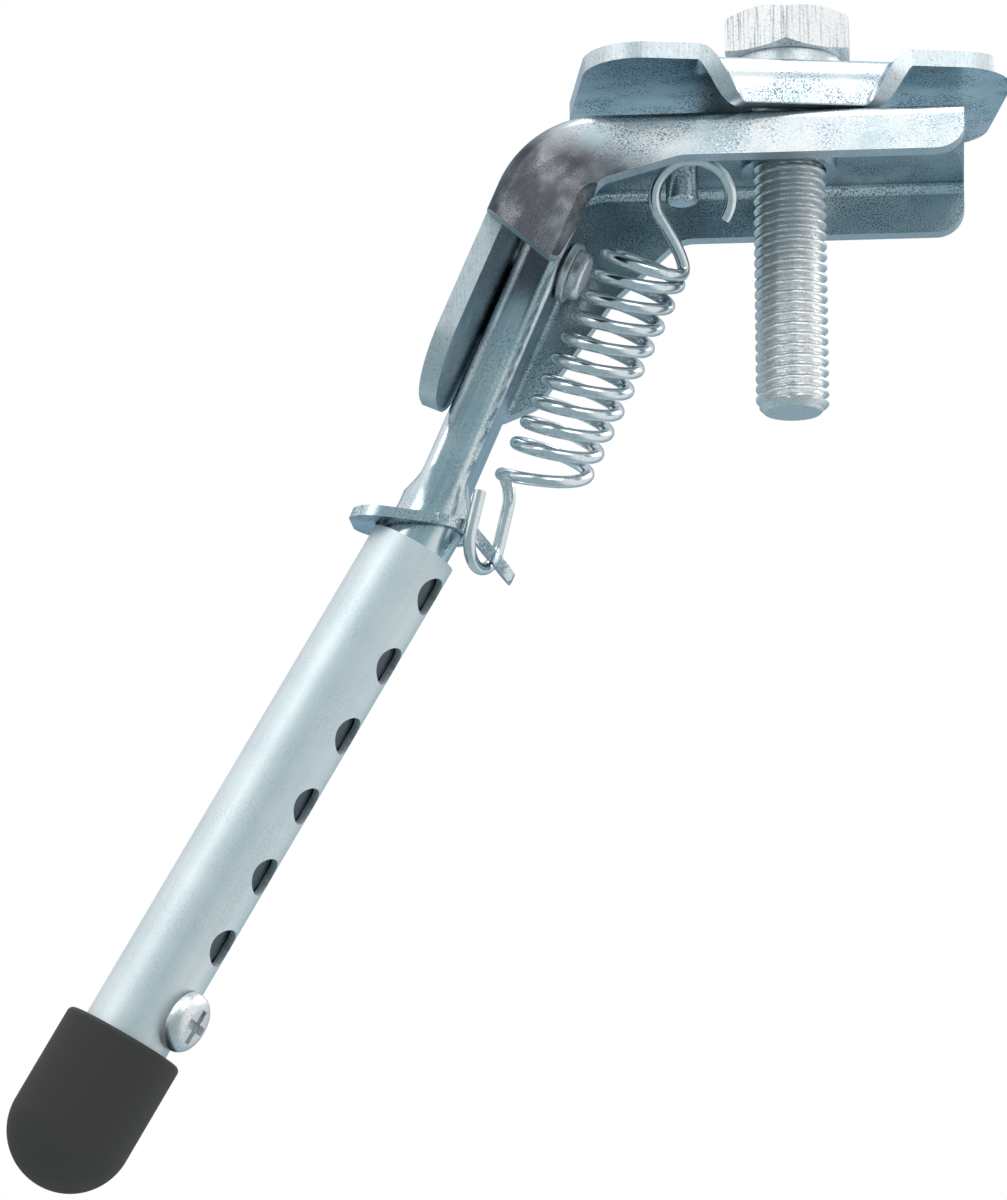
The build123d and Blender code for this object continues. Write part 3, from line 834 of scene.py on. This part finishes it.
class SIDESTAND_OT_finishes(bpy.types.Operator):
    """Makes the plated and rubber finishes"""

    bl_idname = "sidestand.finishes"
    bl_label = "Finishes"

    def execute(self, context):
        zinc_finish("sheet_zinc", speck_share=0.80, formed=True)
        tube_start = least_reach("leg_tube", tube_along)
        zinc_finish("blade_zinc", grain_axis=along, speck_share=0.35, tint=0.35, shaded_past=tube_start)
        zinc_finish("tube_zinc", grain_axis=tube_along, speck_share=0.12, tint=0.10, gloss=0.50)
        sheared_finish()
        bolt_finish()
        wire_finish()
        rubber_finish()
        return {"FINISHED"}


class SIDESTAND_OT_bolt(bpy.types.Operator):
    """Makes the threaded clamp bolt"""

    bl_idname = "sidestand.bolt"
    bl_label = "Clamp bolt"

    def execute(self, context):
        mesh = grid_mesh("bolt_with_thread", bolt_points(context.scene.stand_sizes))
        add_piece("bolt_with_thread", mesh, "clamp", ["bolt_zinc"], ["clamp_bolt"], sharp=28)
        return {"FINISHED"}


class SIDESTAND_OT_plate(bpy.types.Operator):
    """Makes the pressed clamp plate"""

    bl_idname = "sidestand.plate"
    bl_label = "Clamp plate"

    def execute(self, context):
        pressed_edge = 0.45 * mm
        sizes = context.scene.stand_sizes
        mesh = grid_mesh("pressed_plate", plate_points(sizes), wrap=False)
        finishes = ["sheet_zinc", "sheared_zinc"]
        piece = add_piece("pressed_plate", mesh, "clamp", finishes, ["clamp_plate"])
        wall = piece.modifiers.new("sheet", "SOLIDIFY")
        wall.thickness = sizes.plate_sheet
        wall.offset = 0.0
        wall.material_offset_rim = 1
        ease_edges(piece, pressed_edge, angle=50)
        return {"FINISHED"}


class SIDESTAND_OT_spring(bpy.types.Operator):
    """Makes the return spring"""

    bl_idname = "sidestand.spring"
    bl_label = "Return spring"

    def execute(self, context):
        sizes = context.scene.stand_sizes
        line, seam, hook_end = spring_line(sizes)
        points = wire_points(line, seam, sizes.wire / 2)
        step = np.linalg.norm(np.diff(line, axis=0), axis=1)
        run = np.concatenate([[0, 0], np.cumsum(step), [step.sum()]]) / sizes.wire
        mesh = grid_mesh("coiled_spring", points, lengths=run)
        nodes = ["return_spring"]
        piece = add_piece("coiled_spring", mesh, None, ["spring_zinc"], nodes, sharp=60)
        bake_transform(piece)
        return {"FINISHED"}


class SIDESTAND_OT_bracket(bpy.types.Operator):
    """Makes the folded bracket with eased edges"""

    bl_idname = "sidestand.bracket"
    bl_label = "Bracket"

    def execute(self, context):
        mesh = eased_mesh("folded_bracket", "mount_bracket")
        mark_sheared(mesh)
        finishes = ["sheet_zinc", "sheared_zinc"]
        piece = add_piece("folded_bracket", mesh, "bracket", finishes, ["mount_bracket"])
        ease_edges(piece, context.scene.stand_sizes.edge)
        return {"FINISHED"}


class SIDESTAND_OT_hardware(bpy.types.Operator):
    """Makes the leg, the plates and the small hardware with eased edges"""

    bl_idname = "sidestand.hardware"
    bl_label = "Leg and hardware"

    def execute(self, context):
        eased = (
            ("flattened_rod", "leg_rod", "leg", "zinc_bar", "blade_zinc", 0.25 * mm),
            ("drilled_tube", "leg_tube", "leg", "zinc_bar", "tube_zinc", 0.20 * mm),
            ("hook_plate", "spring_plate", "leg", "zinc_sheet", "sheet_zinc", 0.25 * mm),
            ("cross_screw", "lock_screw", "leg", "zinc_fastener", "bolt_zinc", 0.12 * mm),
            ("split_washer", "lock_washer", "clamp", "zinc_fastener", "sheared_zinc", 0.22 * mm),
            ("rivet_washer", "pivot_washer", "bracket", "zinc_fastener", "bolt_zinc", 0.15 * mm),
            ("peened_rivet", "pivot_rivet", "bracket", "zinc_fastener", "bolt_zinc", 0.15 * mm),
            ("hook_peg", "spring_peg", "bracket", "zinc_fastener", "sheet_zinc", 0.15 * mm),
        )
        for name, node, body, slot, finish, width in eased:
            piece = add_piece(name, eased_mesh(name, node), body, [finish], [node])
            ease_edges(piece, width)
        return {"FINISHED"}


class SIDESTAND_OT_foot(bpy.types.Operator):
    """Makes the rubber foot"""

    bl_idname = "sidestand.foot"
    bl_label = "Rubber foot"

    def execute(self, context):
        mesh = grid_mesh("rubber_foot", foot_points())
        add_piece("rubber_foot", mesh, "leg", ["foot_rubber"], ["foot_cap"])
        return {"FINISHED"}


class SIDESTAND_OT_stage(bpy.types.Operator):
    """Sets up the camera, floor, lamps and room"""

    bl_idname = "sidestand.stage"
    bl_label = "Stage"

    def execute(self, context):
        stage = context.scene.stand_stage
        context.scene.view_settings.view_transform = "Standard"
        add_camera(stage)
        add_floor(stage)
        add_world(stage)
        add_lamp("key", (0.10, 0.20, 1.10), 0.6, stage.key_power)
        add_lamp("front", (0.42, -0.85, 0.60), 0.7, stage.front_power)
        add_lamp("left", (-0.60, -0.70, 0.75), 0.6, stage.left_power)
        add_lamp("fill", (0.85, 0.45, 0.65), 0.6, stage.fill_power)
        return {"FINISHED"}


class SIDESTAND_PT_panel(bpy.types.Panel):
    """Lists the stand's pieces, sizes and finishes"""

    bl_label = "Side stand"
    bl_idname = "SIDESTAND_PT_panel"
    bl_space_type = "VIEW_3D"
    bl_region_type = "UI"
    bl_category = "Side stand"

    def draw(self, context):
        for operator in operators:
            self.layout.operator(operator.bl_idname)
        for group, kind in groups:
            for name in kind.__annotations__:
                self.layout.prop(getattr(context.scene, group), name)


operators = (
    SIDESTAND_OT_finishes,
    SIDESTAND_OT_bracket,
    SIDESTAND_OT_plate,
    SIDESTAND_OT_bolt,
    SIDESTAND_OT_hardware,
    SIDESTAND_OT_spring,
    SIDESTAND_OT_foot,
    SIDESTAND_OT_stage,
)
groups = (
    ("stand_sizes", StandSizes),
    ("stand_finish", StandFinish),
    ("stand_stage", StandStage),
)


def register():
    """Adds the classes, and a group of each kind to the scene."""
    for kind in [kind for _, kind in groups] + list(operators) + [SIDESTAND_PT_panel]:
        bpy.utils.register_class(kind)
    for group, kind in groups:
        setattr(bpy.types.Scene, group, bpy.props.PointerProperty(type=kind))


def unregister():
    """Takes the groups and classes away again."""
    for group, _ in groups:
        delattr(bpy.types.Scene, group)
    for kind in [SIDESTAND_PT_panel] + list(reversed(operators)) + [kind for _, kind in groups]:
        bpy.utils.unregister_class(kind)


def main():
    """Builds the pieces and the stage."""
    register()
    bpy.ops.sidestand.finishes()
    bpy.ops.sidestand.bracket()
    bpy.ops.sidestand.plate()
    bpy.ops.sidestand.bolt()
    bpy.ops.sidestand.hardware()
    bpy.ops.sidestand.spring()
    bpy.ops.sidestand.foot()
    bpy.ops.sidestand.stage()


if __name__ == "__main__":
    main()
